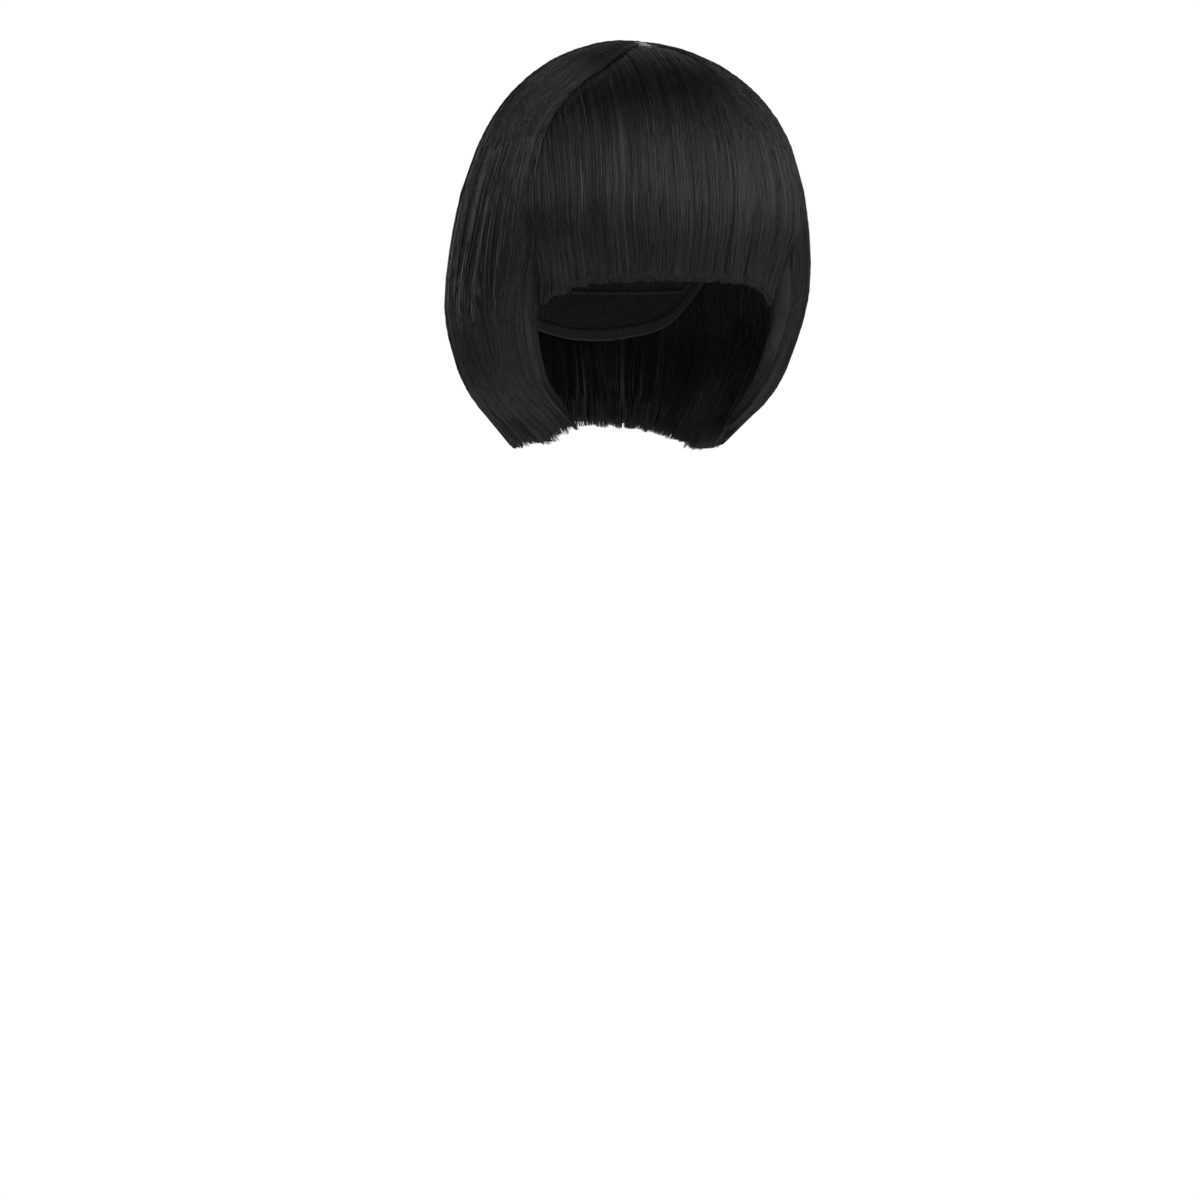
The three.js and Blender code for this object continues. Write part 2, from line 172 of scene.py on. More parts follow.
class Form:
    """The rings of the wig, one below the other, grown out from the head by an offset and by the hair."""

    PATCH_SPAN = 0.1  # places below 0 lead on over the scalp patch, whose middle is this far back

    def __init__(self, rows, length):
        self.table = Table(COLUMNS, CROWN_ROWS + rows)
        self.length = length

    def edge(self, at):
        return self.table.read("edge", np.maximum(at, 0))

    def width(self, at, offset, fullness):
        """Half the width of a ring."""
        out = offset * np.sin(np.clip(at, 0, 1) * math.pi / 2)
        body = fullness * SIDE_BODY * self.table.read("body_side", at)
        return HALF_WIDTH * self.table.read("width", at) + out + body

    def points(self, at, degrees, offset, fullness):
        shrink = 1 + np.minimum(at, 0) / self.PATCH_SPAN
        at = np.maximum(at, 0)
        share = {name: self.table.read(name, at) for name in COLUMNS[1:-1]}
        lean = np.clip(at, 0, 1) * math.pi / 2
        out, up = offset * np.sin(lean), offset * np.cos(lean)
        hang = self.length * np.maximum(at - 1, 0)
        front = HALF_DEPTH * share["front"] + out + fullness * FRONT_BODY * share["body_front"]
        back = HALF_DEPTH * share["back"] + out + fullness * BACK_BODY * share["body_back"]
        middle = HALF_DEPTH * share["middle"]
        width = self.width(at, offset, fullness)
        z_front = up - CROWN_HEIGHT * share["fall_front"] - hang + fullness * CROWN_BODY * share["lift_front"]
        z_back = up - CROWN_HEIGHT * share["fall_back"] - hang + fullness * CROWN_BODY * share["lift_back"]
        angle = np.radians(degrees)
        ahead = np.cos(angle) * shrink
        reach = np.where(ahead > 0, middle + front, back - middle)
        z = z_front + (z_back - z_front) * (1 - ahead) / 2 + PATCH_CROWN * (1 - shrink * shrink)
        return np.stack([width * np.sin(angle) * shrink, middle - reach * ahead, z], axis=-1)


SIDE_FORM = Form(SIDE_ROWS, SIDE_HANG)
FRINGE_FORM = Form(FRINGE_ROWS, FRINGE_HANG)
CAP_FORM = Form(CAP_ROWS, SIDE_HANG)
SEAT = CAP_WALL + SEAT_GAP


class Piece:
    """One piece of the hair: a sector of the form between two angles, from the scalp patch to its hem."""

    def __init__(
        self, node, form, locks, relief, start, end, free_start, free_end, edge_share, crown_share, overlap,
        straight, swirl, ragged, clumps, seed,
    ):
        self.node, self.form, self.locks, self.relief = node, form, locks, relief
        self.start, self.end, self.overlap = start, end, overlap
        self.free_start, self.free_end = free_start, free_end
        self.edge_share, self.crown_share = edge_share, crown_share
        self.straight, self.swirl = straight, swirl
        self.ragged, self.clumps = ragged, clumps
        self.rng = np.random.default_rng(seed)
        self.clump_tips = self.rng.random(clumps + 2)
        self.clump_sway = self.rng.normal(0, 1, clumps + 2)
        self.clump_phase = self.rng.random(clumps + 2)

    def hem(self, across):
        return HEMS.read(self.node, np.clip(across, 0, 1))

    def rounding(self, at, across):
        """The hair is thinner beside a free edge, so the edge is round."""
        edge = self.crown_share + (self.edge_share - self.crown_share) * smooth(at, EDGE_FROM, EDGE_FULL)
        share = np.ones_like(across)
        for free, distance in ((self.free_start, across), (self.free_end, 1 - across)):
            if free:
                near = np.clip(distance * self.locks / FREE_EDGE_LOCKS, 0, 1)
                share = share * (edge + (1 - edge) * np.sin(near * math.pi / 2))
        return share

    def comb(self, at, across):
        """Across of strands that fan out from the whorl or, by their straight share, run straight ahead."""
        level = np.full_like(at, COMB_LEVEL)
        angle = np.radians(self.start(level) + (self.end(level) - self.start(level)) * across)
        aside = self.form.width(level, SEAT, 1) * np.sin(angle)
        above = np.clip(at, 0, COMB_LEVEL)
        degrees = np.degrees(np.arcsin(np.clip(aside / self.form.width(above, SEAT, 1), -1, 1)))
        ahead = (degrees - self.start(above)) / (self.end(above) - self.start(above))
        share = self.straight * (1 - FAN_SHARE * smooth(across, FAN_FROM, FAN_TO))
        return across + (ahead - across) * share

    def parting_root(self, across):
        """The place where a strand comes out from under the hair beside the piece."""
        at = np.broadcast_to(np.linspace(0, COMB_LEVEL, PARTING_LEVELS), (len(across), PARTING_LEVELS))
        place = self.comb(at, np.broadcast_to(across[:, None], at.shape))
        hidden = (place < -self.overlap[0]) | (place > 1 + self.overlap[1])
        return (at * hidden).max(axis=1)

    def points(self, at, across, depth):
        """Depth runs from 0 at the cap to 1 on the outside."""
        crest = np.sin(math.pi * (across * self.locks % 1))
        groove = self.relief * smooth(at, 0, GROOVES_FULL_AT) * (1 - crest)
        start, end = self.start(at), self.end(at)
        degrees = start + (end - start) * across
        return self.form.points(at, degrees, SEAT - groove * depth, depth * self.rounding(at, across))


def side_edge(at):
    return SIDE_FORM.edge(at)


def fringe_edge(at):
    return FRINGE_FORM.edge(at)


def fixed(degrees):
    return lambda at: np.full_like(at, float(degrees))


FRINGE = Piece(
    "fringe", FRINGE_FORM, FRINGE_LOCKS, FRINGE_RELIEF,
    start=lambda at: -fringe_edge(at), end=fringe_edge, free_start=True, free_end=True,
    edge_share=FRINGE_EDGE_SHARE, crown_share=0.95, overlap=(0.02, 0.02), straight=0.85,
    swirl=0.003, ragged=3 * MM, clumps=46, seed=11,
)
LEFT_SIDE = Piece(
    "left_side", SIDE_FORM, SIDE_LOCKS, LOCK_RELIEF,
    start=side_edge, end=fixed(BACK_EDGE), free_start=True, free_end=False,
    edge_share=SIDE_EDGE_SHARE, crown_share=1.02, overlap=(0.015, 0.004), straight=0,
    swirl=0.016, ragged=5 * MM, clumps=26, seed=12,
)
RIGHT_SIDE = Piece(
    "right_side", SIDE_FORM, SIDE_LOCKS, LOCK_RELIEF,
    start=fixed(FULL_TURN - BACK_EDGE), end=lambda at: FULL_TURN - side_edge(at),
    free_start=False, free_end=True, edge_share=SIDE_EDGE_SHARE, crown_share=1.02, overlap=(0.004, 0.015),
    straight=0, swirl=0.016, ragged=5 * MM, clumps=26, seed=13,
)
BACK = Piece(
    "back", SIDE_FORM, BACK_LOCKS, LOCK_RELIEF,
    start=fixed(BACK_EDGE), end=fixed(FULL_TURN - BACK_EDGE), free_start=False, free_end=False,
    edge_share=1, crown_share=1, overlap=(0.004, 0.004), straight=0,
    swirl=0.01, ragged=4 * MM, clumps=44, seed=14,
)

# Strands
STRAND_RADIUS = 0.22 * MM
STRAND_SIDES = 3
LONG_STEPS = 18
SHORT_STEPS = 8
SHADES = 64  # each strand takes one of this many columns of the UV map
COLUMN_START = 0.1  # the part of a column that a strand takes up
COLUMN_END = 0.9
CROWN_SHARE = 0.9  # the roots spread evenly over this share of a half sphere's height
CROWN_REACH = 0.92
EVEN_SHARE = 0.72  # this share of the roots is spread evenly, and the rest lie near the whorl
NEAR_WHORL = 0.36
ON_SCALP = 0.03  # a root above this place doesn't sink, because no hair lies over it
DEPTH_SPREAD = 0.03
HEM_SHARE = 0.55  # of the short strands lie at the hem
HEM_LENGTHS = (0.2, 0.4)
HEM_DEPTHS = (0.05, 0.96)
INNER_SHARE = 0.25  # of the short strands lie on the inner side
INNER_ROOTS = (0.75, 1.1)
INNER_DEPTHS = (0.0, 0.07)
EDGE_SPREAD = 0.01
EDGE_ROOTS = (0.2, 0.9)
EDGE_DEPTHS = (0.02, 1.0)

# How the strands of one lock lie together. A span is the places between which a form grows to its whole size.
CLUMP_JITTER = 0.15
CLUMP_PULL = 0.4
PULL_SPAN = (1.2, 2.1)
CLUMP_RAGGED = 0.5
STRAND_RAGGED = 0.45
SWAY = 0.2
SWAY_SPAN = (0.8, 2.0)
DRIFT = 0.2
DRIFT_SPAN = (0.1, 1.0)
SWIRL_SPAN = (0.6, 1.4)
WAVES = 1.1
WAVE_SPAN = (0, 0.3)
WANDER_TURNS = (0.5, 1.4)
RADIUS_SHARES = (0.75, 1.2)
ROOT_RADIUS = 0.6
ROOT_SPAN = (0, 0.1)
TIP_THINNING = 0.6
TIP_SPAN = (0.9, 1.0)
OUTWARD_STEP = 0.05  # the outward direction is measured over this step of depth
RISE_SHARE = 0.16
ROOT_SINK = 0.25
BARE_SCALP = -0.055  # the place on the patch where the first roots are
WANDER = 0.06 * MM
WAVE = 0.012
SWIRLS = 2.3
SWIRL_TURNS = 0.9
# Pale lines on top of the hair in front of the whorl: painted highlights on the hair roots, partly standing
# for scalp between the hairs
SCALP_HIGHLIGHT_LINES = 44
SCALP_HIGHLIGHT_RADIUS = 0.22 * MM
SCALP_HIGHLIGHT_REACH = 0.3
SCALP_HIGHLIGHT_MIDDLE = 0.49
SCALP_HIGHLIGHT_SPREAD = 0.05
SCALP_HIGHLIGHT_DRIFT = 0.05
SCALP_HIGHLIGHT_EDGE = 0.1  # the lines keep this far across the fringe from the parting
SCALP_HIGHLIGHT_LIFT = 1.05  # the lines lie this deep, on top of the hair
SCALP_HIGHLIGHT_SEED = 15
SCALP_HIGHLIGHT_ASIDE = 0.5
SCALP_HIGHLIGHT_LENGTHS = (0.3, 1)
SCALP_HIGHLIGHT_SHORTENING = 0.6  # the lines at both sides of the fan are shorter
SCALP_HIGHLIGHT_RADII = (0.6, 1.0)
SCALP_HIGHLIGHT_THINNING = 0.8
PARTING_SHARE = 0.65  # of the fringe's strands start at the parting, and the rest lower down
PARTING_SINK = 0.04


def mesh_object(name, points, faces, uvs):
    """A smooth mesh from arrays. faces is a list of arrays of corners, and uvs has a pair for each corner."""
    mesh = bpy.data.meshes.new(name)
    corners = np.concatenate([f.ravel() for f in faces])
    sizes = np.concatenate([np.full(len(f), f.shape[1]) for f in faces])
    starts = np.concatenate([[0], np.cumsum(sizes)[:-1]])
    mesh.vertices.add(len(points))
    mesh.vertices.foreach_set("co", points.astype(np.float32).ravel())
    mesh.loops.add(len(corners))
    mesh.loops.foreach_set("vertex_index", corners.astype(np.int32))
    mesh.polygons.add(len(sizes))
    mesh.polygons.foreach_set("loop_start", starts.astype(np.int32))
    mesh.polygons.foreach_set("use_smooth", np.ones(len(sizes), bool))
    layer = mesh.uv_layers.new(name="OFBake")
    layer.data.foreach_set("uv", uvs.astype(np.float32).ravel())
    mesh.update(calc_edges=True)
    mesh.validate()
    made = bpy.data.objects.new(name, mesh)
    bpy.context.scene.collection.objects.link(made)
    return made


def strand_mesh(name, paths, outward, radii, shades):
    """Closed prisms along the paths, an array of strands by steps by three."""
    count, steps, _ = paths.shape
    along = unit(np.gradient(paths, axis=1))
    side = unit(np.cross(along, outward))
    normal = np.cross(side, along)
    turn = shades[:, None, None] * 2 * math.pi + np.arange(STRAND_SIDES) * 2 * math.pi / STRAND_SIDES
    spread = np.cos(turn)[..., None] * side[:, :, None] + np.sin(turn)[..., None] * normal[:, :, None]
    points = paths[:, :, None] + spread * radii[:, :, None, None]

    strand = np.arange(count)[:, None, None]
    step = np.arange(steps - 1)[None, :, None]
    edge = np.arange(STRAND_SIDES)[None, None, :]
    onward = (edge + 1) % STRAND_SIDES
    index = lambda s, k, e: (s * steps + k) * STRAND_SIDES + e
    quads = np.stack(np.broadcast_arrays(
        index(strand, step, edge), index(strand, step, onward),
        index(strand, step + 1, onward), index(strand, step + 1, edge),
    ), axis=-1).reshape(-1, 4)
    ring = np.arange(STRAND_SIDES)
    roots = index(np.arange(count)[:, None], 0, ring[::-1][None])
    tips = index(np.arange(count)[:, None], steps - 1, ring[None])

    column = np.floor(shades * SHADES)[:, None, None]
    u_low, u_high = (column + COLUMN_START) / SHADES, (column + COLUMN_END) / SHADES
    u = lambda e: u_low + (u_high - u_low) * e / STRAND_SIDES
    v = lambda k: k / (steps - 1)
    quad_uv = np.stack([
        np.stack(np.broadcast_arrays(u(edge), v(step)), -1),
        np.stack(np.broadcast_arrays(u(edge + 1), v(step)), -1),
        np.stack(np.broadcast_arrays(u(edge + 1), v(step + 1)), -1),
        np.stack(np.broadcast_arrays(u(edge), v(step + 1)), -1),
    ], axis=-2).reshape(-1, 2)
    end_u = u(ring[None, None]).reshape(count, STRAND_SIDES)
    root_uv = np.stack([end_u[:, ::-1], np.zeros_like(end_u)], -1).reshape(-1, 2)
    tip_uv = np.stack([end_u, np.ones_like(end_u)], -1).reshape(-1, 2)
    return mesh_object(
        name, points.reshape(-1, 3), [quads, roots, tips], np.concatenate([quad_uv, root_uv, tip_uv])
    )


def roots_over_crown(rng, count):
    """Roots spread evenly over the crown, with more of them close to the whorl."""
    even = np.arccos(1 - rng.random(count) * CROWN_SHARE) * 2 / math.pi
    near = BARE_SCALP + rng.random(count) * NEAR_WHORL
    return np.where(rng.random(count) < EVEN_SHARE, even * CROWN_REACH, near)


def outer_strands(piece, count):
    """Across, root, depth and sunken share of the root of the strands on the outside."""
    rng = piece.rng
    depth = 1.0 - np.abs(rng.normal(0, DEPTH_SPREAD, count))
    across = rng.uniform(-piece.overlap[0], 1 + piece.overlap[1], count)
    root = roots_over_crown(rng, count)
    if not piece.straight:
        return across, root, depth, np.where(root < ON_SCALP, 0, ROOT_SINK)
    parting = piece.parting_root(across)
    root = np.where(rng.random(count) < PARTING_SHARE, BARE_SCALP, root)
    low = root > parting
    return across, np.where(low, root, parting), depth, np.where(low, ROOT_SINK, PARTING_SINK)


def under_strands(piece, count):
    """The same four of the strands at the hem, on the inner side and on the free edges."""
    rng = piece.rng
    hems = int(count * HEM_SHARE)
    inners = int(count * INNER_SHARE)
    across = rng.random(hems)
    rows = [(across, piece.hem(across) - rng.uniform(*HEM_LENGTHS, hems), rng.uniform(*HEM_DEPTHS, hems))]
    rows.append((rng.random(inners), rng.uniform(*INNER_ROOTS, inners), rng.uniform(*INNER_DEPTHS, inners)))
    edges = [e for e, free in ((0, piece.free_start), (1, piece.free_end)) if free]
    rest = count - hems - inners
    at_edge = rng.choice(edges or (0, 1), rest)
    inward = np.abs(rng.normal(0, EDGE_SPREAD, rest))
    across = np.where(at_edge == 0, inward, 1 - inward)
    rows.append((across, rng.uniform(*EDGE_ROOTS, rest), rng.uniform(*EDGE_DEPTHS, rest)))
    across, root, depth = (np.concatenate(parts) for parts in zip(*rows))
    return across, root, depth, np.full_like(root, ROOT_SINK)


def scalp_highlight_lines(count):
    """Fine pale lines that lie on top of the hair just in front of the whorl: painted highlights on the hair
    roots, partly standing for the scalp that shows between the hairs.
    """
    rng = np.random.default_rng(SCALP_HIGHLIGHT_SEED)
    aside = np.clip(rng.normal(0, SCALP_HIGHLIGHT_ASIDE, count), -1, 1)[:, None]
    end = rng.uniform(*SCALP_HIGHLIGHT_LENGTHS, count)[:, None] * SCALP_HIGHLIGHT_REACH * (1 - SCALP_HIGHLIGHT_SHORTENING * np.abs(aside))
    t = np.linspace(0, 1, SHORT_STEPS)[None]
    at = BARE_SCALP + (end - BARE_SCALP) * t
    place = FRINGE.comb(at, SCALP_HIGHLIGHT_MIDDLE + SCALP_HIGHLIGHT_SPREAD * aside - SCALP_HIGHLIGHT_DRIFT * at)
    place = np.clip(place, SCALP_HIGHLIGHT_EDGE, 1 - SCALP_HIGHLIGHT_EDGE)
    paths = FRINGE.points(at, place, SCALP_HIGHLIGHT_LIFT + 0 * at)
    outward = unit(FRINGE.points(at, place, SCALP_HIGHLIGHT_LIFT + OUTWARD_STEP + 0 * at) - paths)
    radii = SCALP_HIGHLIGHT_RADIUS * rng.uniform(*SCALP_HIGHLIGHT_RADII, count)[:, None] * (1 - SCALP_HIGHLIGHT_THINNING * t)
    return strand_mesh("scalp_highlight_lines", paths, outward, radii, rng.random(count))


def grow(piece, suffix, layer_of, count, steps):
    """Strands of one piece as a mesh, laid by one of the layers above."""
    rng = piece.rng
    across, root, depth, sink = layer_of(piece, count)
    t = np.linspace(0, 1, steps)[None]
    clump = np.floor(across * piece.clumps + rng.normal(0, CLUMP_JITTER, count))
    clump = np.clip(clump, 0, piece.clumps).astype(int)
    centre = (clump + 0.5) / piece.clumps
    missing = CLUMP_RAGGED * piece.clump_tips[clump] + STRAND_RAGGED * rng.random(count) ** 2
    shortfall = piece.ragged * missing
    tip = piece.hem(across) - shortfall / piece.form.length
    at = root[:, None] + (tip - root)[:, None] * t
    pull = CLUMP_PULL * smooth(at, *PULL_SPAN)
    sway = SWAY * piece.clump_sway[clump][:, None] / piece.clumps * smooth(at, *SWAY_SPAN)
    drift = rng.normal(0, DRIFT, count)[:, None] / piece.clumps * smooth(t, *DRIFT_SPAN)
    turned = np.sin(2 * math.pi * (SWIRLS * across[:, None] + SWIRL_TURNS * at)) * smooth(at, *SWIRL_SPAN)
    lain = across[:, None] + (centre - across)[:, None] * pull + sway + drift + piece.swirl * turned
    place = piece.comb(at, lain)
    wave = WAVE * np.sin(2 * math.pi * (piece.clump_phase[clump][:, None] + WAVES * t))
    rise = 1 - sink[:, None] * (1 - smooth(t, 0, RISE_SHARE))
    layer = depth[:, None] * rise + wave * (np.minimum(depth, 1)[:, None] * smooth(t, *WAVE_SPAN))
    paths = piece.points(at, place, layer)
    outward = unit(piece.points(at, place, layer + OUTWARD_STEP) - paths)
    wander = WANDER * rng.normal(0, 1, count)[:, None] * np.sin(
        2 * math.pi * (rng.random(count)[:, None] + rng.uniform(*WANDER_TURNS, count)[:, None] * t)
    )
    paths = paths + outward * wander[..., None]
    thickness = ROOT_RADIUS + (1 - ROOT_RADIUS) * smooth(t, *ROOT_SPAN)
    radii = STRAND_RADIUS * rng.uniform(*RADIUS_SHARES, count)[:, None] * thickness
    radii = radii * (1 - TIP_THINNING * smooth(t, *TIP_SPAN))
    return strand_mesh(f"{piece.node}_{suffix}", paths, outward, radii, rng.random(count))


# The mass under the strands
MASS_DEPTH = 0.93
MASS_CROWN_DEPTH = 0.82
MASS_DEPTH_SPAN = (0.1, 1.0)
MASS_INNER = 0.06
MASS_SHORT = 2 * MM
MASS_CLOSED = 0.5  # the depth at which the inner side ends at the hem
MASS_HEM_WALL = 0.05
MASS_CLOSING_SPAN = (0.9, 1.0)
MASS_ROWS = 44
MASS_COLUMNS = 10  # for each lock
OUTER_UV = 0.48  # the outer side of a wall takes this share of the UV map's width
INNER_UV = 0.52  # and the inner side starts here


def wall_mesh(name, outer, inner, ring=False):
    """A closed wall between two grids of points, rows by columns. A ring closes on itself round the head."""
    rows, wide = outer.shape[0] - 1, outer.shape[1]
    columns = wide - 1
    points = np.concatenate([outer.reshape(-1, 3), inner.reshape(-1, 3)])
    r, c = np.meshgrid(np.arange(rows), np.arange(columns), indexing="ij")
    turn = lambda column: column % columns if ring else column
    out = lambda row, column: (row * wide + turn(column)).ravel()
    into = lambda row, column: (wide * (rows + 1) + row * wide + turn(column)).ravel()
    faces = [
        np.stack([out(r, c), out(r + 1, c), out(r + 1, c + 1), out(r, c + 1)], -1),
        np.stack([into(r, c), into(r, c + 1), into(r + 1, c + 1), into(r + 1, c)], -1),
    ]
    if not ring:
        k = np.arange(rows)
        first, final = np.zeros_like(k), np.full_like(k, columns)
        faces.append(np.stack([out(k, first), into(k, first), into(k + 1, first), out(k + 1, first)], -1))
        faces.append(np.stack([out(k, final), out(k + 1, final), into(k + 1, final), into(k, final)], -1))
    j = np.arange(columns)
    top, low = np.zeros_like(j), np.full_like(j, rows)
    faces.append(np.stack([out(top, j), out(top, j + 1), into(top, j + 1), into(top, j)], -1))
    faces.append(np.stack([out(low, j), into(low, j), into(low, j + 1), out(low, j + 1)], -1))
    quads = np.concatenate(faces)
    v, u = np.meshgrid(np.linspace(0, 1, rows + 1), np.linspace(0, 1, wide), indexing="ij")
    grid = np.stack([u.ravel(), v.ravel()], -1)
    uv = np.concatenate([grid * [OUTER_UV, 1], grid * [OUTER_UV, 1] + [INNER_UV, 0]])
    if ring:
        used = np.unique(quads)
        place = np.zeros(len(points), int)
        place[used] = np.arange(len(used))
        return mesh_object(name, points[used], [place[quads]], uv[quads.ravel()])
    return mesh_object(name, points, [quads], uv[quads.ravel()])


def mass(piece):
    """A closed wall under the strands, which hides the head's side and ends short of the tips."""
    columns = piece.locks * MASS_COLUMNS
    across = np.linspace(0, 1, columns + 1)[None]
    t = np.linspace(0, 1, MASS_ROWS + 1)[:, None]
    hem = piece.hem(across) - (piece.ragged * 0.5 + MASS_SHORT) / piece.form.length
    at = hem * t
    across = np.broadcast_to(across, at.shape)
    closing = np.broadcast_to(smooth(t, *MASS_CLOSING_SPAN), at.shape)
    covered = MASS_CROWN_DEPTH + (MASS_DEPTH - MASS_CROWN_DEPTH) * smooth(at, *MASS_DEPTH_SPAN)
    outer = piece.points(at, across, covered + (MASS_CLOSED + MASS_HEM_WALL - covered) * closing)
    inner = piece.points(at, across, MASS_INNER + (MASS_CLOSED - MASS_INNER) * closing)
    return wall_mesh(f"{piece.node}_mass", outer, inner)


# The cap, which shows from below and through the face side
CAP_AROUND = 96
CAP_DOWN = 48
CAP_KNIT = 1.2 * MM
CAP_MIDDLE = 0.98  # a ring this near the middle of the crown closes it but for a pinhole
BOWL_GAP = 0.6 * MM
BAND_ROWS = 6
BAND_DEPTH = 0.055  # of the way down the cap
BAND_PROUD = 0.25 * MM
WEFT_SPACING = 0.085
WEFT_HALF = 0.008
WEFT_FROM = 0.1 * MM
WEFT_TO = 0.7 * MM
WEFTS = 14
WEFT_ROWS = 3
WEFT_STEPS = 5  # the wefts end above the band in this many steps
SKIN_EDGE = 0.06
SKIN_ROWS = 9
SKIN_GAP = 0.3 * MM
SKIN_UNDERSIDE = 0.3


def rim(degrees):
    from_front = np.minimum(degrees % FULL_TURN, FULL_TURN - degrees % FULL_TURN)
    return RIM.read("rim", from_front)


def cap_rings(name, start, end, low, high, down):
    """A band of the cap between two places, which may change round the head, and between two offsets."""
    degrees = np.linspace(0, FULL_TURN, CAP_AROUND + 1)[None]
    t = np.linspace(0, 1, down + 1)[:, None]
    at = start(degrees) + (end(degrees) - start(degrees)) * t
    turn = np.broadcast_to(degrees, at.shape)
    outer = CAP_FORM.points(at, turn, high + 0 * at, 0 * at)
    inner = CAP_FORM.points(at, turn, low + 0 * at, 0 * at)
    return wall_mesh(name, outer, inner, ring=True)


def cap_pieces():
    """The knitted bowl, the elastic band along its rim and the wefts that carry the hair."""
    middle = -Form.PATCH_SPAN * CAP_MIDDLE
    bowl = cap_rings("cap_bowl", lambda d: middle + 0 * d, rim, BOWL_GAP, CAP_KNIT, CAP_DOWN)
    band = cap_rings("cap_band", lambda d: rim(d) - BAND_DEPTH, rim, 0.0, CAP_WALL + BAND_PROUD, BAND_ROWS)
    pieces = [bowl, band]
    for k in range(1, WEFTS + 1):
        level = WEFT_SPACING * (k + 1)
        clear = WEFT_HALF * (k % WEFT_STEPS + 1)
        lowest = lambda d: np.minimum(level, rim(d) - BAND_DEPTH - clear)
        pieces.append(cap_rings(
            f"cap_weft_{k}", lambda d: lowest(d) - WEFT_HALF, lambda d: lowest(d) + WEFT_HALF,
            WEFT_FROM, WEFT_TO, WEFT_ROWS,
        ))
    return pieces


def scalp_skin():
    """A fine dome over the scalp patch."""
    degrees = np.linspace(0, FULL_TURN, CAP_AROUND // 2 + 1)[None]
    at = -Form.PATCH_SPAN * np.linspace(CAP_MIDDLE, SKIN_EDGE, SKIN_ROWS)[:, None]
    turn = np.broadcast_to(degrees, (at.shape[0], degrees.shape[1]))
    at = np.broadcast_to(at, turn.shape)
    upper = SIDE_FORM.points(at, turn, SEAT + 0 * at, 1 + 0 * at)
    lower = SIDE_FORM.points(at, turn, CAP_WALL + SKIN_GAP + 0 * at, SKIN_UNDERSIDE + 0 * at)
    return wall_mesh("scalp_skin", upper, lower, ring=True)


# Materials


def node_tree(name):
    material = bpy.data.materials.new(name)
    material.use_nodes = True
    tree = material.node_tree
    shader = tree.nodes["Principled BSDF"]
    return material, tree, shader


def add(tree, kind, **values):
    node = tree.nodes.new(kind)
    for key, value in values.items():
        setattr(node, key, value)
    return node


def ramp(tree, factor, stops):
    """A colour ramp with the given (place, colour) stops, fed by a socket."""
    node = add(tree, "ShaderNodeValToRGB")
    elements = node.color_ramp.elements
    while len(elements) < len(stops):
        elements.new(0.5)
    for element, (position, colour) in zip(elements, stops):
        element.position = position
        element.color = (*colour, 1)
    tree.links.new(factor, node.inputs["Fac"])
    return node.outputs["Color"]


def hair_material():
    """Black fibres, each with its own slight tint and gloss by its column of the UV map."""
    material, tree, shader = node_tree("hair_fibre")
    link = tree.links.new
    uv = add(tree, "ShaderNodeUVMap", uv_map="OFBake")
    split = add(tree, "ShaderNodeSeparateXYZ")
    link(uv.outputs["UV"], split.inputs[0])
    column = add(tree, "ShaderNodeMath", operation="MULTIPLY")
    column.inputs[1].default_value = SHADES
    link(split.outputs["X"], column.inputs[0])
    whole = add(tree, "ShaderNodeMath", operation="FLOOR")
    link(column.outputs[0], whole.inputs[0])
    chance = add(tree, "ShaderNodeTexWhiteNoise", noise_dimensions="1D")
    link(whole.outputs[0], chance.inputs["W"])
    colour = ramp(tree, chance.outputs["Value"], (
        (0.0, (0.0035, 0.0033, 0.0036)), (0.45, (0.007, 0.0064, 0.0066)),
        (0.8, (0.011, 0.0095, 0.0092)), (1.0, (0.02, 0.0155, 0.0135)),
    ))
    link(colour, shader.inputs["Base Color"])
    gloss = add(tree, "ShaderNodeMapRange")
    gloss.inputs["To Min"].default_value = 0.3
    gloss.inputs["To Max"].default_value = 0.44
    parts = add(tree, "ShaderNodeSeparateColor")
    link(chance.outputs["Color"], parts.inputs[0])
    link(parts.outputs["Green"], gloss.inputs["Value"])
    link(gloss.outputs["Result"], shader.inputs["Roughness"])
    shader.inputs["IOR"].default_value = 1.55
    return material


def mass_material():
    """The same hair seen as fine streaks down the mass."""
    material, tree, shader = node_tree("hair_mass")
    link = tree.links.new
    uv = add(tree, "ShaderNodeUVMap", uv_map="OFBake")
    stretch = add(tree, "ShaderNodeMapping")
    stretch.inputs["Scale"].default_value = (420, 3, 1)
    link(uv.outputs["UV"], stretch.inputs["Vector"])
    streaks = add(tree, "ShaderNodeTexNoise", noise_dimensions="2D")
    streaks.inputs["Scale"].default_value = 1
    streaks.inputs["Detail"].default_value = 3
    link(stretch.outputs[0], streaks.inputs["Vector"])
    colour = ramp(tree, streaks.outputs["Fac"], (
        (0.35, (0.003, 0.0028, 0.003)), (0.7, (0.01, 0.0088, 0.0086)),
    ))
    link(colour, shader.inputs["Base Color"])
    bump = add(tree, "ShaderNodeBump")
    bump.inputs["Strength"].default_value = 0.6
    bump.inputs["Distance"].default_value = 0.4 * MM
    link(streaks.outputs["Fac"], bump.inputs["Height"])
    link(bump.outputs[0], shader.inputs["Normal"])
    shader.inputs["Roughness"].default_value = 0.5
    shader.inputs["IOR"].default_value = 1.55
    return material


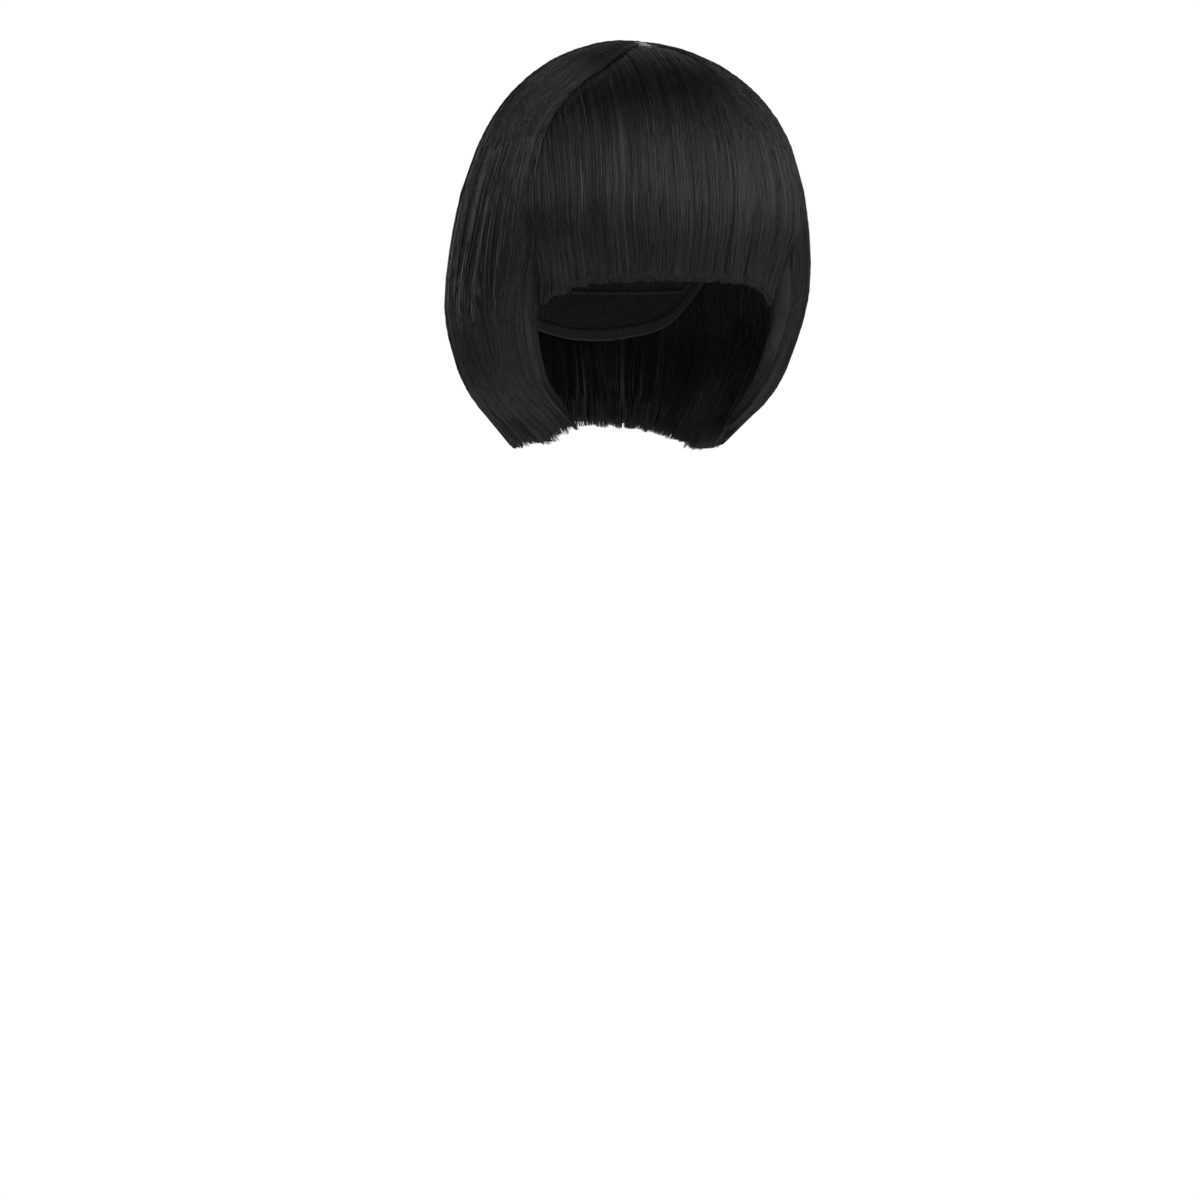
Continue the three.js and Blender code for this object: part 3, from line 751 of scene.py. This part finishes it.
def scalp_material(name, dark, pale):
    """Skin with fine pores, between two colours. It also colours the pale lines of painted highlight on the
    hair roots.
    """
    material, tree, shader = node_tree(name)
    link = tree.links.new
    place = add(tree, "ShaderNodeTexCoord")
    pores = add(tree, "ShaderNodeTexNoise")
    pores.inputs["Scale"].default_value = 900
    link(place.outputs["Object"], pores.inputs["Vector"])
    colour = ramp(tree, pores.outputs["Fac"], ((0.3, dark), (0.7, pale)))
    link(colour, shader.inputs["Base Color"])
    bump = add(tree, "ShaderNodeBump")
    bump.inputs["Strength"].default_value = 0.4
    bump.inputs["Distance"].default_value = 0.2 * MM
    link(pores.outputs["Fac"], bump.inputs["Height"])
    link(bump.outputs[0], shader.inputs["Normal"])
    shader.inputs["Roughness"].default_value = 0.65
    return material


def mesh_cloth_material():
    """Charcoal stretch mesh: threads round small dark holes."""
    material, tree, shader = node_tree("cap_mesh")
    link = tree.links.new
    place = add(tree, "ShaderNodeTexCoord")
    holes = add(tree, "ShaderNodeTexVoronoi", feature="DISTANCE_TO_EDGE")
    holes.inputs["Scale"].default_value = 620
    link(place.outputs["Object"], holes.inputs["Vector"])
    colour = ramp(tree, holes.outputs["Distance"], (
        (0.08, (0.032, 0.029, 0.031)), (0.3, (0.004, 0.0035, 0.004)),
    ))
    link(colour, shader.inputs["Base Color"])
    bump = add(tree, "ShaderNodeBump", invert=True)
    bump.inputs["Strength"].default_value = 0.8
    bump.inputs["Distance"].default_value = 0.5 * MM
    link(holes.outputs["Distance"], bump.inputs["Height"])
    link(bump.outputs[0], shader.inputs["Normal"])
    shader.inputs["Roughness"].default_value = 0.8
    shader.inputs["Sheen Weight"].default_value = 0.1
    return material


def elastic_material():
    """Ribbed elastic for the band and the wefts, with ribs across it."""
    material, tree, shader = node_tree("cap_elastic")
    link = tree.links.new
    uv = add(tree, "ShaderNodeUVMap", uv_map="OFBake")
    stretch = add(tree, "ShaderNodeMapping")
    stretch.inputs["Scale"].default_value = (420, 2.5, 1)
    link(uv.outputs["UV"], stretch.inputs["Vector"])
    ribs = add(tree, "ShaderNodeTexWave", wave_type="BANDS", bands_direction="X")
    ribs.inputs["Scale"].default_value = 0.5
    ribs.inputs["Distortion"].default_value = 0.6
    link(stretch.outputs[0], ribs.inputs["Vector"])
    colour = ramp(tree, ribs.outputs["Fac"], ((0.2, (0.022, 0.02, 0.021)), (0.8, (0.07, 0.065, 0.068))))
    link(colour, shader.inputs["Base Color"])
    bump = add(tree, "ShaderNodeBump")
    bump.inputs["Strength"].default_value = 0.7
    bump.inputs["Distance"].default_value = 0.3 * MM
    link(ribs.outputs["Fac"], bump.inputs["Height"])
    link(bump.outputs[0], shader.inputs["Normal"])
    shader.inputs["Roughness"].default_value = 0.7
    return material


def floor_material():
    """Pale matt paper with a faint mottle."""
    material, tree, shader = node_tree("pale_floor")
    link = tree.links.new
    place = add(tree, "ShaderNodeTexCoord")
    mottle = add(tree, "ShaderNodeTexNoise")
    mottle.inputs["Scale"].default_value = 6
    link(place.outputs["Object"], mottle.inputs["Vector"])
    colour = ramp(tree, mottle.outputs["Fac"], ((0.3, (0.86, 0.86, 0.86)), (0.7, (0.9, 0.9, 0.9))))
    link(colour, shader.inputs["Base Color"])
    shader.inputs["Roughness"].default_value = 0.9
    link(colour, shader.inputs["Emission Color"])
    shader.inputs["Emission Strength"].default_value = FLOOR_GLOW
    return material


# Studio
FLOOR_GLOW = 0.4
FLOOR_Z = -1.45
FLOOR_RADIUS = 2.6
FLOOR_POINTS = 96
AMBIENT = 0.02
PANEL = 1.3
PANEL_DISTANCE = 1.9
AIM = Vector((0, 0, -0.11))
VIEW_AZIMUTH = -17
VIEW_DISTANCE = 1.9
VIEW_HEIGHT = -0.3205
WIG_RIGHT_OF_CENTRE = 34 * PIXEL
PHOTO_WIDTH = 1200 * PIXEL
SENSOR_WIDTH = 36
CLIP_NEAR = 0.05
CLIP_FAR = 50

# Each panel's turn from the camera's azimuth and elevation in degrees, and its watts for each square metre
PANELS = (
    ("low", 0, -28, 1.5), ("level", 0, 2, 2.4), ("low_right", 50, -22, 1.6), ("front", 0, 28, 6.4),
    ("high", 0, 55, 2.6), ("right", 45, 15, 6.5), ("far_right", 85, 15, 1.6), ("back_left", -122, 12, 5.5),
    ("back_right", 122, 12, 2.2), ("back_high", 180, 50, 1.0),
)


def toward(azimuth, elevation):
    """The direction from the wig at an azimuth from the front and an elevation, in degrees."""
    a, e = math.radians(azimuth), math.radians(elevation)
    return Vector((math.sin(a) * math.cos(e), -math.cos(a) * math.cos(e), math.sin(e)))


def soft_light(name, turn, elevation, watts_per_area):
    """A soft square panel that faces the wig, turned from the camera's azimuth by so many degrees."""
    away = toward(VIEW_AZIMUTH + turn, elevation)
    data = bpy.data.lights.new(name, "AREA")
    data.shape = "SQUARE"
    data.size = PANEL
    data.energy = watts_per_area * PANEL * PANEL
    lamp = bpy.data.objects.new(name, data)
    lamp.location = AIM + away * PANEL_DISTANCE
    lamp.rotation_mode = "QUATERNION"
    lamp.rotation_quaternion = away.to_track_quat("Z", "Y")
    bpy.context.scene.collection.objects.link(lamp)


def camera():
    """The photograph's view: level, from the wearer's right, at the height of the photograph's middle."""
    back = toward(VIEW_AZIMUTH, 0)
    right = Vector((-back.y, back.x, 0))
    data = bpy.data.cameras.new("camera")
    data.sensor_width = SENSOR_WIDTH
    data.lens = data.sensor_width * VIEW_DISTANCE / PHOTO_WIDTH
    data.clip_start, data.clip_end = CLIP_NEAR, CLIP_FAR
    made = bpy.data.objects.new("camera", data)
    made.location = back * VIEW_DISTANCE - right * WIG_RIGHT_OF_CENTRE + Vector((0, 0, VIEW_HEIGHT))
    made.rotation_mode = "QUATERNION"
    made.rotation_quaternion = back.to_track_quat("Z", "Y")
    bpy.context.scene.collection.objects.link(made)
    bpy.context.scene.camera = made


def studio():
    """A pale floor, and a white surround that lights the wig much less than it shows."""
    scene = bpy.context.scene
    scene.view_settings.view_transform = "Standard"
    world = bpy.data.worlds.new("studio")
    world.use_nodes = True
    tree = world.node_tree
    surround = tree.nodes["Background"]
    surround.inputs["Color"].default_value = (1, 1, 1, 1)
    path = add(tree, "ShaderNodeLightPath")
    level = add(tree, "ShaderNodeMapRange")
    level.inputs["To Min"].default_value = AMBIENT
    level.inputs["To Max"].default_value = 1.0
    tree.links.new(path.outputs["Is Camera Ray"], level.inputs["Value"])
    tree.links.new(level.outputs["Result"], surround.inputs["Strength"])
    scene.world = world

    turn = np.linspace(0, 2 * math.pi, FLOOR_POINTS + 1)[:-1]
    rim_points = np.stack([np.sin(turn), np.cos(turn), 0 * turn], -1) * FLOOR_RADIUS + [0, 0, FLOOR_Z]
    disc = np.arange(len(turn))[::-1][None]
    uvs = rim_points[disc.ravel(), :2] / (2 * FLOOR_RADIUS) + 0.5
    floor = mesh_object("floor", rim_points, [disc], uvs)
    floor.data.materials.append(floor_material())


def dress(made, material):
    made.data.materials.append(material)
    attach(made, "root")


# The long strands outside each piece, and the short ones at its hem, inside it and on its free edges
STRAND_COUNTS = ((FRINGE, 1650, 1000), (LEFT_SIDE, 1550, 1050), (RIGHT_SIDE, 1550, 1050), (BACK, 1500, 1900))

strands_material = hair_material()
under_material = mass_material()
for piece, outer_count, under_count in STRAND_COUNTS:
    outer = grow(piece, "strands", outer_strands, outer_count, LONG_STEPS)
    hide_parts(piece.node)
    dress(outer, strands_material)
    dress(grow(piece, "under_strands", under_strands, under_count, SHORT_STEPS), strands_material)
    dress(mass(piece), under_material)

bowl, *bands = cap_pieces()
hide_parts("cap")
dress(bowl, mesh_cloth_material())
elastic = elastic_material()
for band in bands:
    dress(band, elastic)
skin = scalp_skin()
skin_material = scalp_material("scalp", (0.3, 0.27, 0.25), (0.52, 0.48, 0.46))
# pale blue-grey lines lying on the hair: painted highlights on the hair roots, partly standing for scalp
# between the hairs
scalp_highlight_material = scalp_material("painted_root_highlight_and_scalp", (0.5, 0.5, 0.55), (0.72, 0.72, 0.78))
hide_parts("scalp_patch")
dress(skin, skin_material)
dress(scalp_highlight_lines(SCALP_HIGHLIGHT_LINES), scalp_highlight_material)

camera()
studio()
for name, turn, elevation, watts_per_area in PANELS:
    soft_light(name, turn, elevation, watts_per_area)
